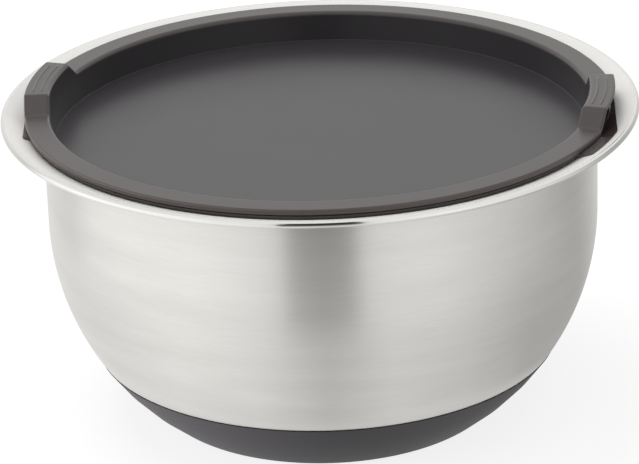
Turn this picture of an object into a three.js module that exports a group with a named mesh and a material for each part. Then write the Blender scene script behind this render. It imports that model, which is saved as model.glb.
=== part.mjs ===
// Mixing bowl with a drop-in lid, in millimetres, standing on the XY plane with +Z up.
// The bowl's axis is the Z axis and the lid's two arch handles lie on the X axis.

import * as THREE from 'three';

// Driving dimensions of the steel bowl
const bowlHeight = 120;       // table to the top of the rolled rim
const wallRadius = 104.4;     // outside of the straight upper wall
const bellyHeight = 78;       // height where the straight wall runs into the belly
const footRadius = 64.4;      // where the belly's curve meets the table
const steel = 0.7;            // sheet thickness
const rimWidth = 15.6;        // how far the rim stands out from the wall
const rimSlope = 20;          // degrees that the rim rises outward
const rimFillet = 3;          // inside radius of the bend from the wall to the rim
const beadRadius = 1.3;       // rolled edge of the rim
const bottomFillet = 14;      // outside radius of the bend to the flat bottom

// Driving dimensions of the silicone foot
const padTop = 25;            // table to the foot's upper edge
const padBase = 3;            // silicone under the flat bottom
const padRecess = 1.5;        // how far the sheet is set in behind the foot
const padProud = 0.25;        // how far the foot stands out from the sheet above it
const padEdgeRound = 5;       // radius of the foot's lower edge
const footRing = 11;          // width of the flat ring that stands on the table
const hollowDepth = 1;        // shallow hollow inside that ring
const joggleLength = 2;       // length of the step that sets the sheet in
const bondGap = 0.3;          // layer of bonding between the foot and the sheet

// Driving dimensions of the lid
const skirtClearance = 1.4;   // between the lid's skirt and the bowl's wall, at the skirt's foot
const lidWall = 2;            // thickness of the skirt
const skirtDraft = 0.9;       // how much wider the skirt is at its top than at its foot
const dishDepth = 11.7;       // rim's top down to the dish's floor
const dishFloor = 2;          // thickness of the dish's floor
const dishFillet = 0.4;       // inside radius between the floor and the skirt
const skirtFillet = 2.5;      // outside radius of the skirt's lower edge
const flangeOverhang = 6.5;   // how far the lid's rim reaches out past the bowl's wall
const flangeThickness = 1.9;
const flangeInnerRound = 1.0; // radius of the edge that drops into the dish
const flangeOuterRound = 0.7; // radius of the outer top edge
const archRise = 5.8;         // height of a handle above the rim
const archTopLength = 35.7;   // flat top of a handle, along the rim
const archLegRun = 7.3;       // length along the rim over which a handle's leg rises
const ribWidth = 1.3;         // two raised grip ribs on a handle
const ribHeight = 0.5;
const ribMargin = 2.4;        // from a rib's end to the end of the handle's flat top
const ribRunOut = 1.2;        // length over which a rib ends
const retainerHeight = 1.0;   // ridge on the skirt that keeps the seal ring up
const retainerProud = 0.6;

// Driving dimensions of the seal ring
const seatGap = 0.3;          // between the seal and the steel that it lies on
const fitGap = 0.3;           // between the seal and the lid
const lipThickness = 1.1;     // lip that lies on the steel
const lipInset = 0.9;         // lip's edge behind the edge of the lid's rim
const grooveHeight = 0.6;     // dark line between the lip and the lid's rim
const grooveDepth = 1;
const tabReach = 4.6;         // most that a pull tab reaches past the edge of the lid's rim
const tabCornerRun = 1;       // length over which a tab's end steps out
// Along the rim from a handle's middle towards the -Y side: where its tab leaves the rim, and its square end
const rightTab = { root: -10, end: 43.5 };
const leftTab = { root: 20, end: 39.8 };

// Facets round the axis and along the arcs of the profiles
const roundFacets = 64;
const bellyFacets = 5;
const footFacets = 4;
const bendFacets = 3;
const edgeFacets = 2;
const beadFacets = 10;
const facetClearance = 0.25;  // degrees that an even facet keeps from a line of the shape

// Colours
const steelMaterial = new THREE.MeshStandardMaterial({ color: 0xc9c8c5, roughness: 0.34, metalness: 1 });
const siliconeMaterial = new THREE.MeshStandardMaterial({ color: 0x4a4848, roughness: 0.75, metalness: 0 });
const lidMaterial = new THREE.MeshStandardMaterial({ color: 0x383331, roughness: 0.4, metalness: 0 });
const sealMaterial = new THREE.MeshStandardMaterial({ color: 0x3a3533, roughness: 0.4, metalness: 0 });

const radians = THREE.MathUtils.degToRad;
const degrees = THREE.MathUtils.radToDeg;

// Profiles are drawn in the (radius, height) plane
const at = (radius, height) => new THREE.Vector2(radius, height);

// Point at an angle in degrees on a circle round a centre
function onCircle(centre, radius, angle) {
  return at(centre.x + radius * Math.cos(radians(angle)), centre.y + radius * Math.sin(radians(angle)));
}

// Points along an arc, both ends included
function arc(centre, radius, fromAngle, toAngle, steps) {
  const points = [];
  for (let step = 0; step <= steps; step++) {
    points.push(onCircle(centre, radius, fromAngle + (toAngle - fromAngle) * step / steps));
  }
  return points;
}

// Belly: one arc, upright where it leaves the wall, that reaches the foot radius at the table
const bellyInset = wallRadius - footRadius;
const bellyRadius = (bellyInset ** 2 + bellyHeight ** 2) / (2 * bellyInset);
const bellyCentre = at(wallRadius - bellyRadius, bellyHeight);

// Degrees that a length along the belly spans
function bellySpan(length) {
  return degrees(length / bellyRadius);
}

// Arc that rounds the corner between a circle round the belly's centre and a level floor
function floorBend(circleRadius, bendRadius, floorHeight) {
  const height = floorHeight + bendRadius;
  const drop = bellyHeight - height;
  const reach = Math.sqrt((circleRadius - bendRadius) ** 2 - drop ** 2);
  return { centre: at(bellyCentre.x + reach, height), angle: degrees(Math.atan2(drop, reach)) };
}

// Where the foot ends and the sheet steps out to the belly, as angles below level
const padRadius = bellyRadius + padProud;
const padTopAngle = degrees(Math.asin((bellyHeight - padTop) / padRadius));
const sheetStepAngle = padTopAngle - bellySpan(bondGap);
const sheetInsetAngle = sheetStepAngle + bellySpan(joggleLength);

// Bottom of the sheet, set in behind the foot
const insetRadius = bellyRadius - padRecess;
const sheetBottom = padBase + bondGap;
const sheetBend = floorBend(insetRadius, bottomFillet, sheetBottom);

// Bottom of the sheet from the axis to the step, offset inward from its outside
function bottomCurve(offset, endAngle) {
  return [
    at(0, sheetBottom + offset),
    ...arc(sheetBend.centre, bottomFillet - offset, -90, -sheetBend.angle, bendFacets),
    ...arc(bellyCentre, insetRadius - offset, -sheetBend.angle, -endAngle, edgeFacets).slice(1),
  ];
}

// Rim: a flared land between the bend at the wall and the bead at the edge
const rimRadius = wallRadius + rimWidth;
const beadCentre = at(rimRadius - beadRadius, bowlHeight - beadRadius);
const landNormalAngle = 90 + rimSlope;
const landNormal = onCircle(at(0, 0), 1, landNormalAngle);
const landEdge = onCircle(beadCentre, beadRadius, landNormalAngle);
const bendRadiusOut = wallRadius - steel + rimFillet;
const bendDrop = ((beadCentre.x - bendRadiusOut) * landNormal.x + beadRadius - rimFillet) / landNormal.y;
const bendCentre = at(bendRadiusOut, beadCentre.y + bendDrop);

// Height of the land's upper face at a radius
function landHeight(radius) {
  return landEdge.y - (landEdge.x - radius) * Math.tan(radians(rimSlope));
}

// Whole sheet from the axis to the land, offset inward from its outside
function sheetCurve(offset) {
  return [
    ...bottomCurve(offset, sheetInsetAngle),
    ...arc(bellyCentre, bellyRadius - offset, -sheetStepAngle, 0, bellyFacets),
    ...arc(bendCentre, rimFillet - steel + offset, 180, landNormalAngle, bendFacets),
  ];
}

// Rolled edge, from the land's under face round the outside to its upper face
function beadCurve() {
  const underAngle = degrees(Math.acos((beadRadius - steel) / beadRadius));
  return arc(beadCentre, beadRadius, landNormalAngle + underAngle, landNormalAngle + 360, beadFacets);
}

// Solid of revolution about Z from a profile that starts and ends on the axis
function revolve(profile) {
  return new THREE.LatheGeometry(profile, roundFacets).rotateX(Math.PI / 2);
}

function bowlShell() {
  const profile = [...sheetCurve(0), ...beadCurve(), ...sheetCurve(steel).reverse()];
  return new THREE.Mesh(revolve(profile), steelMaterial);
}

function basePad() {
  const lowerEdge = floorBend(padRadius, padEdgeRound, 0);
  const hollowRadius = lowerEdge.centre.x - footRing;
  const profile = [
    at(0, hollowDepth),
    at(hollowRadius - hollowDepth, hollowDepth),
    at(hollowRadius, 0),
    ...arc(lowerEdge.centre, padEdgeRound, -90, -lowerEdge.angle, bendFacets),
    ...arc(bellyCentre, padRadius, -lowerEdge.angle, -padTopAngle, footFacets).slice(1),
    ...bottomCurve(-bondGap, sheetInsetAngle + bellySpan(bondGap)).reverse(),
  ];
  return new THREE.Mesh(revolve(profile), siliconeMaterial);
}

// Solid round Z whose profile changes with the angle. Each profile starts and ends on the axis,
// or closes on itself.
function revolveChanging(profileAt, angles, closesOnItself) {
  const profiles = angles.map(profileAt);
  const count = profiles[0].length;
  const positions = [];
  profiles.forEach((profile, station) => {
    const turn = radians(angles[station]);
    for (const point of profile) {
      positions.push(point.x * Math.cos(turn), point.x * Math.sin(turn), point.y);
    }
  });
  const index = [];
  const strips = closesOnItself ? count : count - 1;
  for (let station = 0; station < angles.length; station++) {
    const next = (station + 1) % angles.length;
    for (let strip = 0; strip < strips; strip++) {
      const after = (strip + 1) % count;
      const [here, ahead] = [station * count + strip, next * count + strip];
      const [hereUp, aheadUp] = [station * count + after, next * count + after];
      if (profiles[station][strip].x > 0) index.push(here, ahead, hereUp);
      if (profiles[station][after].x > 0) index.push(ahead, aheadUp, hereUp);
    }
  }
  const geometry = new THREE.BufferGeometry();
  geometry.setAttribute('position', new THREE.Float32BufferAttribute(positions, 3));
  geometry.setIndex(index);
  geometry.computeVertexNormals();
  return geometry;
}

// Angle brought between -180 and 180 degrees
function signed(angle) {
  return THREE.MathUtils.euclideanModulo(angle + 180, 360) - 180;
}

// Angles round the axis: the lines of a shape, and even facets that keep clear of them
function stations(lines) {
  const angles = lines.map(signed);
  for (let facet = 0; facet < roundFacets; facet++) {
    const even = signed(facet * 360 / roundFacets);
    if (lines.every((line) => Math.abs(signed(even - line)) > facetClearance)) angles.push(even);
  }
  return angles.sort((first, second) => first - second);
}

// Degrees from the middle of the nearer handle
function fromHandle(angle) {
  return Math.min(Math.abs(signed(angle)), Math.abs(signed(angle - 180)));
}

// Value that is 1 up to one angle, 0 past another and straight between them
function fall(angle, fullUntil, endsAt) {
  return THREE.MathUtils.clamp((endsAt - angle) / (endsAt - fullUntil), 0, 1);
}

// Radii of the lid, from the bowl's wall
const skirtFootRadius = wallRadius - steel - skirtClearance;
const skirtTopRadius = skirtFootRadius + skirtDraft;
const dishRadius = skirtTopRadius - lidWall;
const flangeRadius = wallRadius + flangeOverhang;
const flangeMiddle = (dishRadius + flangeRadius) / 2;

// Heights of the lid, from the steel that its seal lies on
const lipRadius = flangeRadius - lipInset;
const lipLift = seatGap / Math.cos(radians(rimSlope));
const flangeUnder = landHeight(lipRadius) + lipLift + lipThickness + grooveHeight;
const flangeTop = flangeUnder + flangeThickness;
const floorTop = flangeTop - dishDepth;
const floorUnder = floorTop - dishFloor;

// Degrees that a length along the lid's rim spans
function rimSpan(length) {
  return degrees(length / flangeMiddle);
}

const archTopAngle = rimSpan(archTopLength / 2);
const archFootAngle = rimSpan(archTopLength / 2 + archLegRun);
const ribEndAngle = rimSpan(archTopLength / 2 - ribMargin);
const ribAngle = rimSpan(archTopLength / 2 - ribMargin - ribRunOut);

// Pull tabs: angle of the handle, and the way round from it to the -Y side
const tabCornerAngle = rimSpan(tabCornerRun);
const tabs = [
  { handle: 0, way: -1, root: rimSpan(rightTab.root), end: rimSpan(rightTab.end) },
  { handle: 180, way: 1, root: rimSpan(leftTab.root), end: rimSpan(leftTab.end) },
];

// Seal ring: level beside the skirt, then along the steel land
const sealInner = skirtTopRadius + fitGap;
const sealSeatRadius = wallRadius + rimFillet;
const sealFoot = landHeight(sealSeatRadius) + lipLift;

// Skirt's outer radius at a height
function skirtRadius(height) {
  return skirtFootRadius + skirtDraft * (height - floorUnder) / (flangeUnder - floorUnder);
}

// Ridge on the skirt under the seal ring
function retainer() {
  const top = sealFoot - fitGap;
  const middle = top - retainerHeight / 2;
  const bottom = top - retainerHeight;
  return [
    at(skirtRadius(bottom), bottom),
    at(skirtRadius(middle) + retainerProud, middle),
    at(skirtRadius(top), top),
  ];
}

// Two grip ribs at the thirds of the rim's width, from the outside in
function gripRibs(top, height) {
  const points = [];
  for (const third of [2, 1]) {
    const middle = dishRadius + (flangeRadius - dishRadius) * third / 3;
    points.push(at(middle + ribWidth / 2, top), at(middle, top + height), at(middle - ribWidth / 2, top));
  }
  return points;
}

// Lid's profile at an angle: over a handle the rim, its underside and the skirt's top are raised together
function lidProfile(angle) {
  const away = fromHandle(angle);
  const rise = archRise * fall(away, archTopAngle, archFootAngle);
  const rib = ribHeight * fall(away, ribAngle, ribEndAngle);
  const top = flangeTop + rise;
  const under = flangeUnder + rise;
  const skirtEdge = at(skirtFootRadius - skirtFillet, floorUnder + skirtFillet);
  const outerEdge = at(flangeRadius - flangeOuterRound, top - flangeOuterRound);
  const innerEdge = at(dishRadius + flangeInnerRound, top - flangeInnerRound);
  const floorEdge = at(dishRadius - skirtDraft - dishFillet, floorTop + dishFillet);
  return [
    at(0, floorUnder),
    ...arc(skirtEdge, skirtFillet, -90, 0, edgeFacets),
    ...retainer(),
    at(skirtTopRadius, under),
    at(flangeRadius, under),
    ...arc(outerEdge, flangeOuterRound, 0, 90, edgeFacets),
    ...gripRibs(top, rib),
    ...arc(innerEdge, flangeInnerRound, 90, 180, edgeFacets),
    ...arc(floorEdge, dishFillet, 0, -90, edgeFacets),
    at(0, floorTop),
  ];
}

function lid() {
  const lines = [];
  for (const away of [ribAngle, ribEndAngle, archTopAngle, archFootAngle]) {
    lines.push(away, -away, 180 + away, 180 - away);
  }
  return new THREE.Mesh(revolveChanging(lidProfile, stations(lines), false), lidMaterial);
}

// How far a tab stands out from the lip at an angle. Its edge is the straight line that leaves the rim's circle
// at the tab's root, until it has its full reach.
function tabOut(tab, angle) {
  const along = tab.way * signed(angle - tab.handle);
  const inside = THREE.MathUtils.clamp(along, tab.root, tab.end);
  const line = flangeRadius / Math.cos(radians(inside - tab.root));
  const out = lipInset + Math.min(line - flangeRadius, tabReach);
  return out * fall(Math.abs(along - inside), 0, tabCornerAngle);
}

// Lines of a tab: both ends, their corners, and where it has its full reach
function tabLines(tab) {
  const fullReach = tab.root + degrees(Math.acos(flangeRadius / (flangeRadius + tabReach)));
  const along = [tab.root - tabCornerAngle, tab.root, tab.end, tab.end + tabCornerAngle];
  if (fullReach < tab.end - facetClearance) along.push(fullReach);
  return along.map((angle) => tab.handle + tab.way * angle);
}

// Seal ring's profile at an angle: the lip follows the land, and reaches further out at the pull tabs
function sealProfile(angle) {
  const edge = lipRadius + Math.max(...tabs.map((tab) => tabOut(tab, angle)));
  const shoulder = lipRadius - grooveDepth;
  const sealTop = flangeUnder - fitGap;
  const lipUnder = (radius) => landHeight(radius) + lipLift;
  return [
    at(sealInner, sealFoot),
    at(sealSeatRadius, sealFoot),
    at(edge, lipUnder(edge)),
    at(edge, lipUnder(edge) + lipThickness),
    at(shoulder, lipUnder(shoulder) + lipThickness),
    at(shoulder, sealTop),
    at(sealInner, sealTop),
  ];
}

function lidSealRing() {
  const angles = stations(tabs.flatMap(tabLines));
  return new THREE.Mesh(revolveChanging(sealProfile, angles, true), sealMaterial);
}

const subparts = {
  bowl_shell: bowlShell(),
  base_pad: basePad(),
  lid: lid(),
  lid_seal_ring: lidSealRing(),
};

const mixingBowl = new THREE.Group();
for (const [name, mesh] of Object.entries(subparts)) {
  mesh.name = name;
  mixingBowl.add(mesh);
}

export default mixingBowl;
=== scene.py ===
"""Looks of a mixing bowl with a drop-in lid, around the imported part.

Every piece is a surface turned about the Z axis, worked out in millimetres in the (radius, height) plane.
The lid and its seal ring have profiles that change with the angle round the axis.
"""

import math

import bpy
import numpy as np
from mathutils import Matrix, Vector


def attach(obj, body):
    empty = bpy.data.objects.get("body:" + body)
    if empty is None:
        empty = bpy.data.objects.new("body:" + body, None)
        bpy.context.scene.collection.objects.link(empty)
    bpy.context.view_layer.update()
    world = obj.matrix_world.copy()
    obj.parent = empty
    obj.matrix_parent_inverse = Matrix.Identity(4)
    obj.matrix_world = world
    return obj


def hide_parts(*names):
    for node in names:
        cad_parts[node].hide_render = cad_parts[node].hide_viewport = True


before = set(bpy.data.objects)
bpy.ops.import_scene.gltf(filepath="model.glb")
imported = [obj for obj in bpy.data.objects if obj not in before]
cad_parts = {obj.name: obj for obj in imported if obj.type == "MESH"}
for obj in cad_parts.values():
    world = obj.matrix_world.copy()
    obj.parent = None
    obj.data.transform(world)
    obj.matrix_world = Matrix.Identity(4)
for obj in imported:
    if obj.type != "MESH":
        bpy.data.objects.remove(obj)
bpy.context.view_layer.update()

MM = 0.001

# Steel bowl
BOWL_HEIGHT = 120.0        # table to the top of the rolled rim
WALL_RADIUS = 104.4        # outside of the straight upper wall
BELLY_HEIGHT = 78.0        # where the straight wall runs into the belly
FOOT_RADIUS = 64.4         # where the belly's curve would meet the table
STEEL = 0.7                # sheet thickness
RIM_RADIUS = 119.98        # outside of the rolled rim
RIM_SLOPE = 20.0           # degrees that the rim rises outward
RIM_FILLET = 3.0           # inside radius of the bend from the wall to the rim
BEAD_RADIUS = 1.3          # rolled edge
BOTTOM_FILLET = 14.0       # outside radius of the bend to the flat bottom

# Silicone foot
PAD_TOP = 25.0             # table to its upper edge
PAD_BASE = 3.0             # silicone under the flat bottom
PAD_RECESS = 1.5           # how far the sheet is set in behind the foot
PAD_PROUD = 0.25           # how far the foot stands out from the sheet above it
PAD_EDGE_ROUND = 5.0       # lower edge
PAD_LIP_ROUND = 0.35       # upper edge
FOOT_RING = 11.0           # flat ring on the table
HOLLOW_DEPTH = 1.0         # hollow inside that ring
HOLLOW_ROUND = 0.5         # cut at the hollow's two corners
JOGGLE_LENGTH = 2.0        # step that sets the sheet in
BOND_GAP = 0.3             # bond between the foot and the sheet

# Lid
SKIRT_FOOT = 102.3         # outer radius of the skirt at its foot
SKIRT_DRAFT = 0.9          # how much wider the skirt is at its top
LID_WALL = 2.0
DISH_DEPTH = 11.7          # rim's top down to the dish's floor
DISH_FLOOR = 2.0           # floor's thickness
DISH_FILLET = 0.2
SKIRT_FILLET = 2.5
FLANGE_RADIUS = 110.9
FLANGE_THICKNESS = 1.9
FLANGE_INNER_ROUND = 1.6
FLANGE_OUTER_ROUND = 0.7
FLANGE_LOWER_ROUND = 0.3
ARCH_RISE = 5.8            # handle above the rim
ARCH_THICKNESS = 1.1       # handle's thickness at its edge
ARCH_TOP_LENGTH = 35.7     # flat top of a handle, along the rim
ARCH_LEG_RUN = 7.3         # length along the rim over which a leg rises
ARCH_TOP_ROUND = 0.5       # half the length of the curve at a leg's top
ARCH_FOOT_ROUND = 0.7      # half the length of the curve at a leg's foot
RIB_WIDTH = 1.3            # two raised grip ribs on a handle
RIB_HEIGHT = 0.35
RIB_MARGIN = 2.4           # from a rib's end to the end of the handle's flat top
RIB_RUN_OUT = 2.5
RETAINER_HEIGHT = 1.0      # ridge on the skirt that keeps the seal ring up
RETAINER_PROUD = 0.6

# Seal ring
SEAT_GAP = 0.3             # between the seal and the steel
FIT_GAP = 0.3              # between the seal and the lid
LIP_THICKNESS = 1.1
LIP_INSET = 0.9            # lip's edge behind the edge of the lid's rim
LIP_ROUND = 0.35
GROOVE_HEIGHT = 0.6        # dark line between the lip and the lid's rim
GROOVE_DEPTH = 1.0
LIP_SEAT = 0.1             # soft lip above the steel, where the solid keeps the whole gap
TAB_REACH = 4.6            # most that a pull tab reaches past the edge of the lid's rim
TAB_CORNER_RUN = 1.0       # length over which a tab's end steps out
TAB_ROOT_RUN = 14.0        # length over which a tab's root runs out into the lip
TAB_FILL_REACH = 1.5       # reach from which a tab's top runs level with the seal's shoulder
TAB_FILL = 0.95            # share of the groove that a tab fills
TAB_EDGE = 0.4             # thickness that a tab tapers to at its full reach
TAB_ROUND = 0.6            # reach over which a tab's straight edge bends to its full reach
# Along the rim from a handle's middle towards the -Y side: where its tab leaves the rim, and its square end
RIGHT_TAB = (-10.0, 43.5)
LEFT_TAB = (20.0, 39.8)
PAINTED_SHADE_END = 27.0            # where the painted shade of the handle on the right tab ends

# Fineness of the surfaces
TURN_STEP = 1.25           # degrees between lines round the axis
HANDLE_STEP = 0.2          # degrees between lines at the handles' legs and the tabs' ends
ARC_STEP = 5.0             # degrees between points on the profiles' arcs
SUPPORT = 0.15             # mm from the end of a straight run to a point that keeps it flat
CORNER_POINTS = 7          # points on a rounded corner
STEP_POINTS = 9            # points on the sheet's step behind the foot
BELLY_POINTS = 34          # points on the belly above that step
RIDGE_POINTS = 11          # points on the ridge that keeps the seal up
RIM_TOP_POINTS = 49        # points across the lid's rim, close enough for the grip ribs
TAB_PAST_END = 4.0         # mm past a tab's end that still have close lines round the axis
CLOSE = 1e-6               # mm that rounding may add, so points this close are the same

# Photograph's camera
CAMERA_AZIMUTH = 9.1       # degrees round from the -Y side
CAMERA_ELEVATION = 22.58   # degrees above level
CAMERA_DISTANCE = 1262.8   # mm from the point that it aims at
CAMERA_ROLL = 1.9          # degrees that the picture is turned
CAMERA_LENS = 185.9        # mm
CAMERA_SENSOR = 36.0       # mm across
AIM = (-1.62, -0.26, 66.57)


def joined(*runs):
    """Runs of points set end to end, with a point that repeats the one before it left out."""
    points = np.vstack(runs)
    step = np.linalg.norm(np.diff(points[:, :2], axis=0), axis=1)
    return points[np.concatenate([[True], step > CLOSE])]


def arc(centre, radius, start, end):
    """Points on a circle round a centre, from one angle in degrees to another."""
    count = max(3, int(abs(end - start) / ARC_STEP) + 1)
    angle = np.radians(np.linspace(start, end, count))
    return np.column_stack([centre[0] + radius * np.cos(angle), centre[1] + radius * np.sin(angle)])


def line(start, end, parts=1):
    """Points along a straight run in equal parts, with one more close to each end."""
    start, end = np.asarray(start, float), np.asarray(end, float)
    near = min(0.25, SUPPORT / np.linalg.norm(end - start))
    share = np.union1d(np.linspace(0, 1, parts + 1), [near, 1 - near])
    return start + share[:, None] * (end - start)


def rounded(before, corner, after, cut):
    """A corner cut back on both sides, with the quadratic Bezier curve that the corner steers."""
    before, corner, after = (np.asarray(point, float) for point in (before, corner, after))
    first = corner + cut * (before - corner) / np.linalg.norm(before - corner)
    last = corner + cut * (after - corner) / np.linalg.norm(after - corner)
    t = np.linspace(0, 1, CORNER_POINTS)[:, None]
    return (1 - t) ** 2 * first + 2 * t * (1 - t) * corner + t ** 2 * last


def smooth(share):
    """0 below 0, 1 above 1, and the cubic 3t^2 - 2t^3 between."""
    t = np.clip(share, 0, 1)
    return t * t * (3 - 2 * t)


def rounded_ramp(x, half):
    """0 below -half, x above half, and the parabola (x + half)^2 / 4 half that joins them."""
    bend = (np.clip(x, -half, half) + half) ** 2 / (4 * half)
    return np.where(x > half, x, bend)


def turned(name, radii, heights, turns, closed=False, finish=None):
    """Mesh of the grid (radius cos turn, radius sin turn, height): one row of points for each turn.

    A profile that isn't closed starts and ends on the axis, where its rows meet in one point.
    The attribute brushing holds the turn as a point on a unit circle and the length along the profile in mm.
    Finish numbers the material of each strip along an open profile, or in a column that of each turn.
    """
    turn = np.radians(turns)[:, None] + np.zeros_like(radii)
    points = np.stack([radii * np.cos(turn), radii * np.sin(turn), heights], axis=-1)
    steps = np.hypot(np.diff(radii, axis=1), np.diff(heights, axis=1))
    length = np.concatenate([np.zeros((len(turns), 1)), np.cumsum(steps, axis=1)], axis=1)
    brushing = np.stack([np.cos(turn), np.sin(turn), length], axis=-1)
    if closed:
        grid = np.arange(radii.size).reshape(radii.shape)
        ahead = np.roll(grid, -1, axis=0)
        quads = np.stack([grid, ahead, np.roll(ahead, -1, axis=1), np.roll(grid, -1, axis=1)], axis=-1)
        faces = quads.reshape(-1, 4).tolist()
        points, brushing = points.reshape(-1, 3), brushing.reshape(-1, 3)
    else:
        inner = points[:, 1:-1]
        grid = np.arange(inner.shape[0] * inner.shape[1]).reshape(inner.shape[:2])
        ahead = np.roll(grid, -1, axis=0)
        quads = np.stack([grid[:, :-1], ahead[:, :-1], ahead[:, 1:], grid[:, 1:]], axis=-1)
        first, last = np.full(len(turns), grid.size), np.full(len(turns), grid.size + 1)
        start_fan = np.stack([first, ahead[:, 0], grid[:, 0]], axis=-1)
        end_fan = np.stack([grid[:, -1], ahead[:, -1], last], axis=-1)
        faces = quads.reshape(-1, 4).tolist() + start_fan.tolist() + end_fan.tolist()
        poles = [0, -1]
        brushing = np.vstack([brushing[:, 1:-1].reshape(-1, 3), brushing[0, poles]])
        points = np.vstack([inner.reshape(-1, 3), points[0, poles]])
    mesh = bpy.data.meshes.new(name)
    mesh.from_pydata((points * MM).tolist(), [], faces)
    mesh.attributes.new("brushing", "FLOAT_VECTOR", "POINT").data.foreach_set("vector", brushing.ravel())
    if finish is not None:
        strips = np.broadcast_to(finish if closed else finish[1:-1], quads.shape[:2]).ravel()
        ends = [] if closed else np.repeat([finish[0], finish[-1]], len(turns))
        mesh.polygons.foreach_set("material_index", np.concatenate([strips, ends]).astype(np.int32))
    mesh.shade_smooth()
    mesh.update()
    piece = bpy.data.objects.new(name, mesh)
    bpy.context.scene.collection.objects.link(piece)
    return piece


def dress(piece, body, node, slot, *materials):
    """Gives a piece its materials and its CAD body, and hides the CAD node that it stands for. Its slot is
    not used.
    """
    for material in materials:
        piece.data.materials.append(material)
    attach(piece, body)
    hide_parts(node)


# Belly: one arc, upright where it leaves the wall, that reaches the foot radius at the table
BELLY_INSET = WALL_RADIUS - FOOT_RADIUS
BELLY_RADIUS = (BELLY_INSET ** 2 + BELLY_HEIGHT ** 2) / (2 * BELLY_INSET)
BELLY_CENTRE = (WALL_RADIUS - BELLY_RADIUS, BELLY_HEIGHT)


def belly_span(length):
    """Degrees that a length along the belly spans."""
    return math.degrees(length / BELLY_RADIUS)


def floor_bend(circle_radius, bend_radius, floor_height):
    """Centre, and angle below level, of the arc from a circle round the belly's centre to a level floor."""
    height = floor_height + bend_radius
    drop = BELLY_HEIGHT - height
    reach = math.sqrt((circle_radius - bend_radius) ** 2 - drop ** 2)
    return (BELLY_CENTRE[0] + reach, height), math.degrees(math.atan2(drop, reach))


PAD_RADIUS = BELLY_RADIUS + PAD_PROUD
PAD_TOP_ANGLE = math.degrees(math.asin((BELLY_HEIGHT - PAD_TOP) / PAD_RADIUS))
STEP_ANGLE = PAD_TOP_ANGLE - belly_span(BOND_GAP)
INSET_ANGLE = STEP_ANGLE + belly_span(JOGGLE_LENGTH)
INSET_RADIUS = BELLY_RADIUS - PAD_RECESS
SHEET_BOTTOM = PAD_BASE + BOND_GAP
SHEET_BEND, SHEET_BEND_ANGLE = floor_bend(INSET_RADIUS, BOTTOM_FILLET, SHEET_BOTTOM)

# Rim: a flared land between the bend at the wall and the bead at the edge
BEAD_CENTRE = (RIM_RADIUS - BEAD_RADIUS, BOWL_HEIGHT - BEAD_RADIUS)
LAND_NORMAL = 90 + RIM_SLOPE
NORMAL = (math.cos(math.radians(LAND_NORMAL)), math.sin(math.radians(LAND_NORMAL)))
BEND_RADIUS_OUT = WALL_RADIUS - STEEL + RIM_FILLET
BEND_DROP = ((BEAD_CENTRE[0] - BEND_RADIUS_OUT) * NORMAL[0] + BEAD_RADIUS - RIM_FILLET) / NORMAL[1]
RIM_BEND = (BEND_RADIUS_OUT, BEAD_CENTRE[1] + BEND_DROP)


def land_height(radius):
    """Height of the land's upper face at a radius."""
    edge = (BEAD_CENTRE[0] + BEAD_RADIUS * NORMAL[0], BEAD_CENTRE[1] + BEAD_RADIUS * NORMAL[1])
    return edge[1] - (edge[0] - radius) * math.tan(math.radians(RIM_SLOPE))


def bottom_curve(offset, end_angle):
    """Sheet from the axis to the step behind the foot, offset inward from its outside."""
    level = SHEET_BOTTOM + offset
    return joined(
        line((0, level), (SHEET_BEND[0], level), parts=6),
        arc(SHEET_BEND, BOTTOM_FILLET - offset, -90, -SHEET_BEND_ANGLE),
        arc(BELLY_CENTRE, INSET_RADIUS - offset, -SHEET_BEND_ANGLE, -end_angle),
    )


def belly_curve(offset):
    """Belly from the step up: a circle whose radius goes smoothly from the inset one to the full one."""
    on_step = np.linspace(INSET_ANGLE, STEP_ANGLE, STEP_POINTS)
    angle = np.concatenate([on_step, np.linspace(STEP_ANGLE, 0, BELLY_POINTS)[1:]])
    radius = BELLY_RADIUS - offset - PAD_RECESS * smooth((angle - STEP_ANGLE) / (INSET_ANGLE - STEP_ANGLE))
    below = np.radians(-angle)
    out, up = radius * np.cos(below), radius * np.sin(below)
    return np.column_stack([BELLY_CENTRE[0] + out, BELLY_CENTRE[1] + up])


def sheet_curve(offset, land_end):
    """Whole sheet from the axis to the end of the land, offset inward from its outside."""
    wall = WALL_RADIUS - offset
    bend = arc(RIM_BEND, RIM_FILLET - STEEL + offset, 180, LAND_NORMAL)
    return joined(
        bottom_curve(offset, INSET_ANGLE),
        belly_curve(offset),
        line((wall, BELLY_HEIGHT), (wall, RIM_BEND[1]), parts=4),
        bend,
        line(bend[-1], land_end, parts=3),
    )


def even_turns():
    """Angles in degrees once round the axis."""
    return np.arange(0, 360, TURN_STEP)


def strips_on(marked):
    """Strips of a profile whose two edges are both marked."""
    return marked[:-1] & marked[1:]


def spun(name, profile, finish=None):
    """One profile turned once round the axis."""
    turns = even_turns()
    radii, heights = (np.tile(profile[:, axis], (len(turns), 1)) for axis in (0, 1))
    return turned(name, radii, heights, turns, finish=finish)


def steel_bowl():
    """Sheet outside, rolled bead and sheet inside as one profile, turned once round."""
    under_angle = LAND_NORMAL + math.degrees(math.acos((BEAD_RADIUS - STEEL) / BEAD_RADIUS))
    bead = arc(BEAD_CENTRE, BEAD_RADIUS, under_angle, LAND_NORMAL + 360)
    profile = joined(sheet_curve(0, bead[0]), bead, sheet_curve(STEEL, bead[-1])[::-1])
    from_bead = np.hypot(profile[:, 0] - BEAD_CENTRE[0], profile[:, 1] - BEAD_CENTRE[1])
    on_bead = from_bead < BEAD_RADIUS + CLOSE
    on_rim = profile[:, 0] > RIM_BEND[0]
    return spun("steel_bowl", profile, strips_on(on_rim).astype(int) + strips_on(on_bead))


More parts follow.
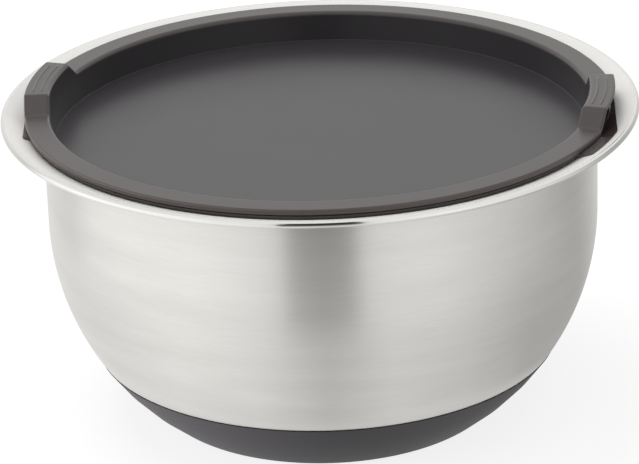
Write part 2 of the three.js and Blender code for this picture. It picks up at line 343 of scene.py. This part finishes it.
def silicone_foot():
    """Foot under the bowl: hollow, flat ring, rounded edge, belly, lip, and the face bonded to the sheet."""
    edge, edge_angle = floor_bend(PAD_RADIUS, PAD_EDGE_ROUND, 0)
    hollow = edge[0] - FOOT_RING
    outside = arc(BELLY_CENTRE, PAD_RADIUS, -edge_angle, -PAD_TOP_ANGLE)
    inside = bottom_curve(-BOND_GAP, INSET_ANGLE + belly_span(BOND_GAP))[::-1]
    lip = rounded(outside[-2], outside[-1], inside[0], PAD_LIP_ROUND)
    roof_edge, ring_edge = (hollow - HOLLOW_DEPTH, HOLLOW_DEPTH), (hollow, 0)
    profile = joined(
        line((0, HOLLOW_DEPTH), (roof_edge[0] - 2 * HOLLOW_ROUND, HOLLOW_DEPTH), parts=5),
        rounded((0, HOLLOW_DEPTH), roof_edge, ring_edge, HOLLOW_ROUND),
        rounded(roof_edge, ring_edge, edge, HOLLOW_ROUND),
        line((hollow + 2 * HOLLOW_ROUND, 0), (edge[0], 0), parts=2),
        arc(edge, PAD_EDGE_ROUND, -90, -edge_angle),
        outside[:-1],
        lip,
        inside,
    )
    return spun("silicone_foot", profile)


# Lid's radii, and its heights from the steel that its seal lies on
SKIRT_TOP = SKIRT_FOOT + SKIRT_DRAFT
DISH_RADIUS = SKIRT_TOP - LID_WALL
FLANGE_MIDDLE = (DISH_RADIUS + FLANGE_RADIUS) / 2
LIP_RADIUS = FLANGE_RADIUS - LIP_INSET
LIP_LIFT = SEAT_GAP / math.cos(math.radians(RIM_SLOPE))
FLANGE_UNDER = land_height(LIP_RADIUS) + LIP_LIFT + LIP_THICKNESS + GROOVE_HEIGHT
FLANGE_TOP = FLANGE_UNDER + FLANGE_THICKNESS
FLOOR_TOP = FLANGE_TOP - DISH_DEPTH
FLOOR_UNDER = FLOOR_TOP - DISH_FLOOR
UNDER_SHARE = 1 + (FLANGE_THICKNESS - ARCH_THICKNESS) / ARCH_RISE
SEAL_INNER = SKIRT_TOP + FIT_GAP
SEAL_SEAT = WALL_RADIUS + RIM_FILLET
SEAL_FOOT = land_height(SEAL_SEAT) + LIP_LIFT


def rim_span(length):
    """Degrees that a length along the lid's rim spans."""
    return math.degrees(length / FLANGE_MIDDLE)


def handle_turns(low, high):
    """Angles round the axis, with close ones between two distances in mm from each handle's middle."""
    close = np.arange(rim_span(low), rim_span(high), HANDLE_STEP)
    sides = np.concatenate([close, -close, 180 + close, 180 - close]) % 360
    return np.unique(np.round(np.concatenate([even_turns(), sides]), 3))


def from_handle(turns):
    """Length in mm along the rim from the middle of the nearer handle."""
    return np.radians(np.abs((turns + 90) % 180 - 90)) * FLANGE_MIDDLE


def skirt_radius(height):
    """Outer radius of the skirt at a height."""
    return SKIRT_FOOT + SKIRT_DRAFT * (height - FLOOR_UNDER) / (FLANGE_UNDER - FLOOR_UNDER)


def lifted(points, start, end):
    """Points with the share of a handle's rise that each takes, from one end of the run to the other."""
    return np.column_stack([points, np.linspace(start, end, len(points))])


def retainer_ridge():
    """Ridge on the skirt under the seal: half a cosine wave."""
    top = SEAL_FOOT - FIT_GAP
    height = np.linspace(top - RETAINER_HEIGHT, top, RIDGE_POINTS)
    wave = 0.5 - 0.5 * np.cos(2 * np.pi * (top - height) / RETAINER_HEIGHT)
    return np.column_stack([skirt_radius(height) + RETAINER_PROUD * wave, height])


def lid_profile():
    """Lid's section clear of the handles, as radius, height and share of a handle's rise."""
    skirt_edge = (SKIRT_FOOT - SKIRT_FILLET, FLOOR_UNDER + SKIRT_FILLET)
    outer_edge = (FLANGE_RADIUS - FLANGE_OUTER_ROUND, FLANGE_TOP - FLANGE_OUTER_ROUND)
    inner_edge = (DISH_RADIUS + FLANGE_INNER_ROUND, FLANGE_TOP - FLANGE_INNER_ROUND)
    floor_edge = (DISH_RADIUS - SKIRT_DRAFT - DISH_FILLET, FLOOR_TOP + DISH_FILLET)
    lower_corner = (FLANGE_RADIUS, FLANGE_UNDER)
    skirt_corner = (SKIRT_TOP, FLANGE_UNDER)
    ridge = retainer_ridge()
    under_inner = rounded(ridge[-1], skirt_corner, lower_corner, FLANGE_LOWER_ROUND)
    under_outer = rounded(skirt_corner, lower_corner, outer_edge, FLANGE_LOWER_ROUND)
    skirt_bend = arc(skirt_edge, SKIRT_FILLET, -90, 0)
    floor_bend_in = arc(floor_edge, DISH_FILLET, 0, -90)
    top_run = np.linspace(outer_edge[0], inner_edge[0], RIM_TOP_POINTS)
    return joined(
        lifted(line((0, FLOOR_UNDER), skirt_bend[0], parts=5), 0, 0),
        lifted(skirt_bend, 0, 0),
        lifted(line(skirt_bend[-1], ridge[0], parts=2), 0, 0),
        lifted(ridge, 0, 0),
        lifted(line(ridge[-1], (SKIRT_TOP, FLANGE_UNDER - FLANGE_LOWER_ROUND), parts=3), 0, UNDER_SHARE),
        lifted(under_inner, UNDER_SHARE, UNDER_SHARE),
        lifted(under_outer, UNDER_SHARE, UNDER_SHARE),
        lifted(arc(outer_edge, FLANGE_OUTER_ROUND, 0, 90), 1, 1),
        lifted(np.column_stack([top_run, np.full(len(top_run), FLANGE_TOP)]), 1, 1),
        lifted(arc(inner_edge, FLANGE_INNER_ROUND, 90, 180), 1, 1),
        lifted(line((DISH_RADIUS, inner_edge[1]), floor_bend_in[0], parts=4), 1, 0),
        lifted(floor_bend_in, 0, 0),
        lifted(line(floor_bend_in[-1], (0, FLOOR_TOP), parts=8), 0, 0),
    )


def lid_dish():
    """Lid's section carried round the axis and raised at the handles.

    A leg is a straight slope with parabola bends, and the grip ribs are cosine waves on the handle's top.
    """
    profile = lid_profile()
    half_top = ARCH_TOP_LENGTH / 2
    turns = handle_turns(
        half_top - RIB_MARGIN - 2 * RIB_RUN_OUT, half_top + ARCH_LEG_RUN + 2 * ARCH_FOOT_ROUND)
    away = from_handle(turns)
    climb = rounded_ramp(half_top + ARCH_LEG_RUN - away, ARCH_FOOT_ROUND)
    level = rounded_ramp(half_top - away, ARCH_TOP_ROUND)
    rise = ARCH_RISE * (climb - level) / ARCH_LEG_RUN
    rib_end = smooth((half_top - RIB_MARGIN - away) / RIB_RUN_OUT)
    third = (FLANGE_RADIUS - DISH_RADIUS) / 3
    on_top = profile[:, 1] > FLANGE_TOP - CLOSE
    ribs = np.zeros(len(profile))
    for middle in (DISH_RADIUS + third, DISH_RADIUS + 2 * third):
        across = np.clip(np.abs(profile[:, 0] - middle) / (RIB_WIDTH / 2), 0, 1)
        ribs += on_top * (0.5 + 0.5 * np.cos(np.pi * across))
    heights = profile[:, 1] + np.outer(rise, profile[:, 2]) + RIB_HEIGHT * np.outer(rib_end, ribs)
    radii = np.tile(profile[:, 0], (len(turns), 1))
    on_edge = profile[:, 0] > FLANGE_RADIUS - FLANGE_LOWER_ROUND - CLOSE
    before_edge = profile[:, 0] < FLANGE_RADIUS - FLANGE_OUTER_ROUND + CLOSE
    on_rim = before_edge & (profile[:, 1] > FLANGE_TOP - FLANGE_INNER_ROUND - CLOSE)
    # Strips of the rim's edge and top take paler copies of the plastic: painted light; the dish keeps the
    # darker one.
    finish = strips_on(on_edge).astype(int) + 2 * strips_on(on_rim)
    return turned("lid_dish", radii, heights, turns, finish=finish)


def tab_turns(handle, way, tab):
    """Close angles round the axis over a pull tab."""
    along = np.arange(rim_span(tab[0] - TAB_ROOT_RUN), rim_span(tab[1] + TAB_PAST_END), HANDLE_STEP)
    return (handle + way * along) % 360


def past_handle(turns, handle, way):
    """Degrees from a handle's middle, counted the way that its tab points."""
    return way * ((turns - handle + 180) % 360 - 180)


def tab_out(turns, handle, way, tab):
    """How far a tab stands out from the lip at each angle.

    Its edge is the straight line that leaves the rim's circle at the tab's root, bent round to its full
    reach. It fades out over a long run before the root and a short one after the end.
    """
    root, end = rim_span(tab[0]), rim_span(tab[1])
    along = past_handle(turns, handle, way)
    inside = np.clip(along, root, end)
    straight = FLANGE_RADIUS / np.cos(np.radians(inside - root)) - FLANGE_RADIUS
    out = LIP_INSET + TAB_REACH - rounded_ramp(TAB_REACH - straight, TAB_ROUND)
    run = np.where(along < root, rim_span(TAB_ROOT_RUN), rim_span(TAB_CORNER_RUN))
    return out * smooth(1 - np.abs(along - inside) / run)


def seal_ring():
    """Soft ring under the lid's rim: its lip follows the steel, and reaches further out at the pull tabs."""
    right, left = (0, -1, RIGHT_TAB), (180, 1, LEFT_TAB)
    turns = np.unique(np.round(np.concatenate([even_turns(), tab_turns(*right), tab_turns(*left)]), 3))
    out = np.maximum(tab_out(turns, *right), tab_out(turns, *left))
    shoulder = LIP_RADIUS - GROOVE_DEPTH
    top = FLANGE_UNDER - FIT_GAP

    def lip(radius):
        return land_height(radius) + LIP_LIFT

    inner_foot, seat = (SEAL_INNER, SEAL_FOOT), (SEAL_SEAT, SEAL_FOOT)
    lip_under = (LIP_RADIUS, land_height(LIP_RADIUS) + LIP_SEAT)
    lip_over = (LIP_RADIUS, lip(LIP_RADIUS) + LIP_THICKNESS)
    groove = (shoulder, lip(shoulder) + LIP_THICKNESS)
    shoulder_top, inner_top = (shoulder, top), (SEAL_INNER, top)
    profile = joined(
        rounded(inner_top, inner_foot, seat, LIP_ROUND),
        rounded(inner_foot, seat, lip_under, LIP_ROUND),
        rounded(seat, lip_under, lip_over, LIP_ROUND),
        rounded(lip_under, lip_over, groove, LIP_ROUND),
        rounded(lip_over, groove, shoulder_top, LIP_ROUND),
        rounded(groove, shoulder_top, inner_top, LIP_ROUND),
        rounded(shoulder_top, inner_top, inner_foot, LIP_ROUND),
    )
    on_lip = np.clip((profile[:, 0] - shoulder - LIP_ROUND) / (GROOVE_DEPTH - 2 * LIP_ROUND), 0, 1)
    reach = np.outer(out, on_lip)
    radii = profile[:, 0] + reach
    thickness = LIP_LIFT + LIP_THICKNESS
    above = (profile[:, 1] - land_height(profile[:, 0])) / thickness
    taper = (thickness - TAB_EDGE) / (LIP_INSET + TAB_REACH)
    in_groove = (profile[:, 0] > shoulder - 2 * LIP_ROUND) & (profile[:, 1] > groove[1] - LIP_ROUND)
    fill = TAB_FILL * (1 - on_lip) * in_groove * (top - profile[:, 1])
    heights = profile[:, 1] + reach * (math.tan(math.radians(RIM_SLOPE)) - taper * above)
    heights += np.outer(smooth(out / TAB_FILL_REACH), fill)
    # Strips of the right tab beside its handle get the darker silicone: painted shade of the handle.
    along = past_handle(turns, *right[:2])
    dark = (along > rim_span(RIGHT_TAB[0] - TAB_ROOT_RUN)) & (along < rim_span(PAINTED_SHADE_END))
    return turned("seal_ring", radii, heights, turns, closed=True, finish=dark[:, None].astype(int))


def linear(hex_colour):
    """Linear RGBA of an sRGB hex colour."""
    srgb = np.array([int(hex_colour[at:at + 2], 16) for at in (1, 3, 5)]) / 255
    rgb = np.where(srgb <= 0.04045, srgb / 12.92, ((srgb + 0.055) / 1.055) ** 2.4)
    return (*rgb.tolist(), 1.0)


def add(tree, kind, inputs=None, **settings):
    """Adds a node with its own settings; each input is a value, or an output to link."""
    made = tree.nodes.new(kind)
    for name, value in settings.items():
        setattr(made, name, value)
    for socket, value in (inputs or {}).items():
        if isinstance(value, bpy.types.NodeSocket):
            tree.links.new(value, made.inputs[socket])
        else:
            made.inputs[socket].default_value = value
    return made


def new_material(name):
    """An empty node material: its tree and its output node."""
    material = bpy.data.materials.new(name)
    material.use_nodes = True
    material.node_tree.nodes.clear()
    return material, material.node_tree, add(material.node_tree, "ShaderNodeOutputMaterial")


# Brushing of the steel: real lines are about 0.1 mm apart, and these are drawn coarser so that they show
BRUSH_PITCH = 0.5          # mm between brushing lines
BRUSH_REACH = 9.0          # brushing lines per radian: each is about 12 mm long at the wall
BRUSH_DEPTH = 0.02         # mm
CLOUD_PITCH = 9.0          # mm between the broader bands that the brushing leaves
CLOUD_REACH = 1.5          # such bands per radian

# Moulded surfaces
GRAIN_STRENGTH = 0.25      # share of the grain's bump that is used
GLOSS_SPREAD = 0.05        # how far the clouds move the roughness either way
PLASTIC_IOR = 1.5


def brush_marks(tree, reach, pitch, detail, roughness):
    """Noise drawn out round the axis: so many marks per radian, and a pitch in mm across them."""
    place = add(tree, "ShaderNodeAttribute", attribute_name="brushing")
    drawn_out = add(tree, "ShaderNodeMapping", {
        "Vector": place.outputs["Vector"], "Scale": (reach, reach, 1 / pitch)})
    marks = add(tree, "ShaderNodeTexNoise", {
        "Vector": drawn_out.outputs["Vector"], "Scale": 1.0, "Detail": detail, "Roughness": roughness})
    return marks.outputs["Fac"]


def brushed_stainless():
    """Stainless steel sheet brushed round the axis: its fine lines spread each reflection upright."""
    material, tree, output = new_material("brushed_stainless_steel")
    lines = brush_marks(tree, BRUSH_REACH, BRUSH_PITCH, detail=4.0, roughness=0.65)
    clouds = brush_marks(tree, CLOUD_REACH, CLOUD_PITCH, detail=2.0, roughness=0.5)
    both = add(tree, "ShaderNodeMath", {0: lines, 1: clouds}, operation="ADD")
    mean = add(tree, "ShaderNodeMath", {0: both.outputs[0], 1: 0.5}, operation="MULTIPLY")
    colour = add(tree, "ShaderNodeMix", {
        "Factor": mean.outputs[0], "A": linear("#c6c4c0"), "B": linear("#e7e5e1")}, data_type="RGBA")
    rough = add(tree, "ShaderNodeMapRange", {
        "Value": lines, "From Min": 0.25, "From Max": 0.75, "To Min": 0.285, "To Max": 0.375})
    bump = add(tree, "ShaderNodeBump", {"Height": lines, "Strength": 0.12, "Distance": BRUSH_DEPTH * MM})
    around = add(tree, "ShaderNodeTangent", direction_type="RADIAL", axis="Z")
    steel = add(tree, "ShaderNodeBsdfPrincipled", {
        "Base Color": colour.outputs["Result"], "Metallic": 1.0, "Roughness": rough.outputs["Result"],
        "Anisotropic": 0.75, "Anisotropic Rotation": 0.25,
        "Tangent": around.outputs["Tangent"], "Normal": bump.outputs["Normal"]})
    tree.links.new(steel.outputs["BSDF"], output.inputs["Surface"])
    return material


def finished_steel(name, colour, metallic, smoothest, roughest):
    """Steel with one finish, where rolling marks change only the roughness."""
    material, tree, output = new_material(name)
    marks = brush_marks(tree, BRUSH_REACH, BRUSH_PITCH, detail=3.0, roughness=0.5)
    rough = add(tree, "ShaderNodeMapRange", {
        "Value": marks, "From Min": 0.3, "From Max": 0.7, "To Min": smoothest, "To Max": roughest})
    steel = add(tree, "ShaderNodeBsdfPrincipled", {
        "Base Color": linear(colour), "Metallic": metallic, "Roughness": rough.outputs["Result"]})
    tree.links.new(steel.outputs["BSDF"], output.inputs["Surface"])
    return material


def polished_stainless():
    """The same steel where the rolled edge was polished: near mirror, with faint rolling marks."""
    return finished_steel("polished_stainless_steel", "#e0dfdc", metallic=1.0, smoothest=0.08, roughest=0.16)


def satin_stainless():
    """The same steel on the flat of the rim, blasted to an even satin that scatters light all round."""
    return finished_steel("satin_stainless_steel", "#f8f7f4", metallic=0.3, smoothest=0.52, roughest=0.6)


def moulded(name, dark, light, roughness, grain_mm, grain_depth_mm, cloud_mm):
    """A moulded surface: fine grain from the tool as bump, and slow clouds of colour and gloss."""
    material, tree, output = new_material(name)
    place = add(tree, "ShaderNodeTexCoord").outputs["Object"]
    grain = add(tree, "ShaderNodeTexNoise", {
        "Vector": place, "Scale": 1 / (grain_mm * MM), "Detail": 2.0, "Roughness": 0.6})
    clouds = add(tree, "ShaderNodeTexNoise", {
        "Vector": place, "Scale": 1 / (cloud_mm * MM), "Detail": 3.0, "Roughness": 0.55})
    colour = add(tree, "ShaderNodeMix", {
        "Factor": clouds.outputs["Fac"], "A": linear(dark), "B": linear(light)}, data_type="RGBA")
    rough = add(tree, "ShaderNodeMapRange", {
        "Value": clouds.outputs["Fac"],
        "To Min": roughness - GLOSS_SPREAD, "To Max": roughness + GLOSS_SPREAD})
    bump = add(tree, "ShaderNodeBump", {
        "Height": grain.outputs["Fac"], "Strength": GRAIN_STRENGTH, "Distance": grain_depth_mm * MM})
    surface = add(tree, "ShaderNodeBsdfPrincipled", {
        "Base Color": colour.outputs["Result"], "Roughness": rough.outputs["Result"], "IOR": PLASTIC_IOR,
        "Normal": bump.outputs["Normal"]})
    tree.links.new(surface.outputs["BSDF"], output.inputs["Surface"])
    return material


def satin_polypropylene():
    """Lid: dark grey polypropylene from a finely eroded mould, satin, bright only at a low angle.

    Its grain is drawn coarser than a real one, so that it can show. Its colour is darker than the rim's
    copies: painted shade inside the dish.
    """
    return moulded("satin_polypropylene", "#322f32", "#3a373a",
                   roughness=0.31, grain_mm=0.9, grain_depth_mm=0.12, cloud_mm=45)


def rim_polypropylene_painted_light():
    """Top of the lid's rim and handles: the same plastic and grain, painted a little paler than the dish:
    painted light on the top.
    """
    return moulded("rim_polypropylene_painted_light", "#443d3c", "#4c4544",
                   roughness=0.32, grain_mm=0.9, grain_depth_mm=0.12, cloud_mm=45)


def rim_edge_polypropylene_painted_light():
    """Lid's edge: the same plastic where the mould parts, matt, and painted paler: its own warm colour plus
    painted light from the bright steel below.
    """
    return moulded("rim_edge_polypropylene_painted_light", "#544a47", "#5c524f",
                   roughness=0.4, grain_mm=0.5, grain_depth_mm=0.012, cloud_mm=45)


def foot_silicone():
    """Foot: dark grey silicone from a matt mould, without shine."""
    return moulded("matt_silicone", "#3b383c", "#444145",
                   roughness=0.62, grain_mm=0.6, grain_depth_mm=0.02, cloud_mm=30)


def seal_silicone():
    """Seal ring: softer silicone, a little browner than the lid's floor, from a smooth mould."""
    return moulded("soft_seal_silicone", "#4f4848", "#575050",
                   roughness=0.16, grain_mm=0.5, grain_depth_mm=0.003, cloud_mm=30)


def shade_painted_silicone():
    """Seal ring beside the right handle: a darker copy of the same silicone, painted shade that the handle
    casts on the tab.
    """
    return moulded("shade_painted_seal_silicone", "#38302d", "#403633",
                   roughness=0.12, grain_mm=0.5, grain_depth_mm=0.003, cloud_mm=30)


# White surroundings
FLOOR_RADIUS = 6000.0
FLOOR_LEVEL = -0.3         # a little under the foot, so that the two faces don't meet
FLOOR_GREY = 0.26          # matt part of the floor, which takes the shadow
FLOOR_GLOW = 0.83          # its glow where it is looked at
FLOOR_FILL = 0.05          # its glow as a light
WORLD_WHITE = 1.0          # world where it is looked at
WORLD_FILL = 0.45          # world as a light
# Lamps that shiny surfaces don't mirror: place and size in mm, and watts
KEY_SOFTBOX = ((-350, 150, 1500), (900, 900), 9.6)
LOW_LEFT_SOFTBOX = ((-1200, -350, 60), (700, 110), 20)
# Studio that only shiny surfaces see: brightness by degrees round from the camera to the right
SCREEN_RADIUS = 300.0
SCREEN_HEIGHT = 260.0
SCREEN_END = 150.0         # degrees either side of the camera
SCREEN_STEP = 0.5          # degrees between its upright lines
SCREEN = (
    (-150, 1.0), (-115, 0.84), (-105, 0.78), (-92, 1.22), (-74, 1.34), (-40, 1.2), (-13, 0.95),
    (12, 1.0), (35, 1.14), (68, 0.9), (102, 0.48), (115, 0.54), (150, 1.0),
)
# Dark gap in the screen where the camera stands
GAP_EDGES = (-13.0, 11.0)  # degrees
GAP_LEVELS = (0.24, 0.05)  # brightness in its lower and upper part
GAP_HEIGHT = 90.0          # where the upper part begins
GAP_BLEND = 1.0            # height over which the one turns into the other
GAP_TOP = 390.0            # it stands taller than the rest of the screen
# Table between the bowl and the screen
TABLE_LEVEL = 0.2          # a little over the floor
TABLE_INNER = 92.0
TABLE_SHADE = 0.88         # share of the table's brightness left close to the bowl
TABLE = (
    (-150, 1.0), (-80, 1.05), (-48, 1.2), (-21, 1.08), (0, 0.76),
    (20, 0.96), (43, 0.84), (72, 0.6), (110, 0.55), (150, 1.0),
)


def stage_sheet(name, points):
    """A sheet of the studio from a grid of points in mm."""
    rows, columns = points.shape[:2]
    grid = np.arange(rows * columns).reshape(rows, columns)
    quads = np.stack([grid[:-1, :-1], grid[1:, :-1], grid[1:, 1:], grid[:-1, 1:]], axis=-1)
    mesh = bpy.data.meshes.new(name)
    mesh.from_pydata((points.reshape(-1, 3) * MM).tolist(), [], quads.reshape(-1, 4).tolist())
    sheet = bpy.data.objects.new(name, mesh)
    bpy.context.scene.collection.objects.link(sheet)
    return sheet


def level_where_seen(tree, unseen, seen):
    """One brightness for rays from the camera and from shiny or clear surfaces, and another for the rest."""
    rays = add(tree, "ShaderNodeLightPath").outputs
    direct = add(tree, "ShaderNodeMath", {
        0: rays["Is Camera Ray"], 1: rays["Is Glossy Ray"]}, operation="MAXIMUM")
    looking = add(tree, "ShaderNodeMath", {
        0: direct.outputs[0], 1: rays["Is Transmission Ray"]}, operation="MAXIMUM")
    level = add(tree, "ShaderNodeMapRange", {"Value": looking.outputs[0], "To Min": unseen, "To Max": seen})
    return level.outputs["Result"]


def pale_floor():
    """White floor: it glows up to the white of the background, and the matt rest of it takes the shadow."""
    corner = np.array([-FLOOR_RADIUS, 0, FLOOR_RADIUS])
    x, y = np.meshgrid(corner, corner, indexing="ij")
    sheet = stage_sheet("floor", np.stack([x, y, np.full_like(x, FLOOR_LEVEL)], axis=-1))
    material, tree, output = new_material("pale_floor")
    matt = add(tree, "ShaderNodeBsdfDiffuse", {"Color": (FLOOR_GREY, FLOOR_GREY, FLOOR_GREY, 1)})
    white = add(tree, "ShaderNodeEmission", {"Strength": level_where_seen(tree, FLOOR_FILL, FLOOR_GLOW)})
    both = add(tree, "ShaderNodeAddShader", {0: matt.outputs["BSDF"], 1: white.outputs["Emission"]})
    tree.links.new(both.outputs["Shader"], output.inputs["Surface"])
    sheet.data.materials.append(material)


def screen_angles():
    """Degrees round from the camera to the right, from one end of the screen to the other."""
    return np.arange(-SCREEN_END, SCREEN_END + SCREEN_STEP / 2, SCREEN_STEP)


def glow_sheet(name, radius, height, level):
    """A glowing sheet round the camera side of the bowl, seen by shiny surfaces only.

    Radius, height and level are grids with a row for each angle of the screen.
    """
    turn = np.radians(screen_angles() + CAMERA_AZIMUTH)[:, None]
    points = np.stack([radius * np.sin(turn), -radius * np.cos(turn), height], axis=-1)
    sheet = stage_sheet(name, points)
    stored = sheet.data.attributes.new("level", "FLOAT", "POINT")
    stored.data.foreach_set("value", level.astype(np.float32).ravel())
    material, tree, output = new_material(name)
    strength = add(tree, "ShaderNodeAttribute", attribute_name="level").outputs["Fac"]
    glow = add(tree, "ShaderNodeEmission", {"Strength": strength})
    tree.links.new(glow.outputs["Emission"], output.inputs["Surface"])
    sheet.data.materials.append(material)
    for ray in ("camera", "diffuse", "transmission", "volume_scatter", "shadow"):
        setattr(sheet, "visible_" + ray, False)


def studio_screen():
    """Upright screen round the camera side, with a dark gap where the camera stands."""
    angle = screen_angles()
    height = np.tile([0.0, GAP_HEIGHT, GAP_HEIGHT + GAP_BLEND, SCREEN_HEIGHT], (len(angle), 1))
    level = np.tile(np.interp(angle, *zip(*SCREEN))[:, None], (1, height.shape[1]))
    in_gap = (angle > GAP_EDGES[0]) & (angle < GAP_EDGES[1])
    level[in_gap] = np.repeat(GAP_LEVELS, 2)
    height[in_gap, -1] = GAP_TOP
    glow_sheet("studio_screen", np.full_like(height, SCREEN_RADIUS), height, level)


def studio_table():
    """Table between the bowl and the screen, dimmer to the right."""
    angle = screen_angles()
    radius = np.tile([TABLE_INNER, SCREEN_RADIUS], (len(angle), 1))
    level = np.outer(np.interp(angle, *zip(*TABLE)), [TABLE_SHADE, 1])
    glow_sheet("studio_table", radius, np.full_like(radius, TABLE_LEVEL), level)


def white_world():
    """White where the camera and shiny surfaces look at it, and a softer fill light for the rest."""
    world = bpy.data.worlds.new("white_world")
    bpy.context.scene.world = world
    world.use_nodes = True
    tree = world.node_tree
    tree.nodes.clear()
    sky = add(tree, "ShaderNodeBackground", {
        "Color": (1, 1, 1, 1), "Strength": level_where_seen(tree, WORLD_FILL, WORLD_WHITE)})
    add(tree, "ShaderNodeOutputWorld", {"Surface": sky.outputs["Background"]})


def softbox(name, place, size, watts):
    """An area lamp at a place in mm, turned to the bowl and not mirrored by shiny surfaces."""
    lamp = bpy.data.lights.new(name, "AREA")
    lamp.shape = "RECTANGLE"
    lamp.size, lamp.size_y = (side * MM for side in size)
    lamp.energy = watts
    holder = bpy.data.objects.new(name, lamp)
    holder.location = Vector(place) * MM
    holder.rotation_euler = (Vector(AIM) - Vector(place)).to_track_quat("-Z", "Y").to_euler()
    holder.visible_glossy = False
    bpy.context.scene.collection.objects.link(holder)


def photograph_camera():
    """Camera on the photograph's viewing line, turned by its roll."""
    azimuth, elevation, roll = (math.radians(a) for a in (CAMERA_AZIMUTH, CAMERA_ELEVATION, CAMERA_ROLL))
    level = math.cos(elevation)
    back = Vector((math.sin(azimuth) * level, -math.cos(azimuth) * level, math.sin(elevation)))
    right = Vector((math.cos(azimuth), math.sin(azimuth), 0))
    up = back.cross(right)
    rolled_right = math.cos(roll) * right - math.sin(roll) * up
    rolled_up = math.sin(roll) * right + math.cos(roll) * up
    turn = Matrix((rolled_right, rolled_up, back)).transposed()
    camera = bpy.data.cameras.new("camera")
    camera.lens = CAMERA_LENS
    camera.sensor_width = CAMERA_SENSOR
    holder = bpy.data.objects.new("camera", camera)
    holder.matrix_world = Matrix.Translation((Vector(AIM) + CAMERA_DISTANCE * back) * MM) @ turn.to_4x4()
    bpy.context.scene.collection.objects.link(holder)
    bpy.context.scene.camera = holder


dress(steel_bowl(), "bowl", "bowl_shell", "brushed_steel",
      brushed_stainless(), satin_stainless(), polished_stainless())
dress(silicone_foot(), "bowl", "base_pad", "foot_silicone", foot_silicone())
dress(lid_dish(), "lid", "lid", "lid_plastic",
      satin_polypropylene(), rim_edge_polypropylene_painted_light(), rim_polypropylene_painted_light())
dress(seal_ring(), "lid", "lid_seal_ring", "seal_silicone", seal_silicone(), shade_painted_silicone())

pale_floor()
studio_screen()
studio_table()
white_world()
softbox("key_softbox", *KEY_SOFTBOX)
softbox("low_left_softbox", *LOW_LEFT_SOFTBOX)
photograph_camera()
bpy.context.scene.view_settings.view_transform = "Standard"
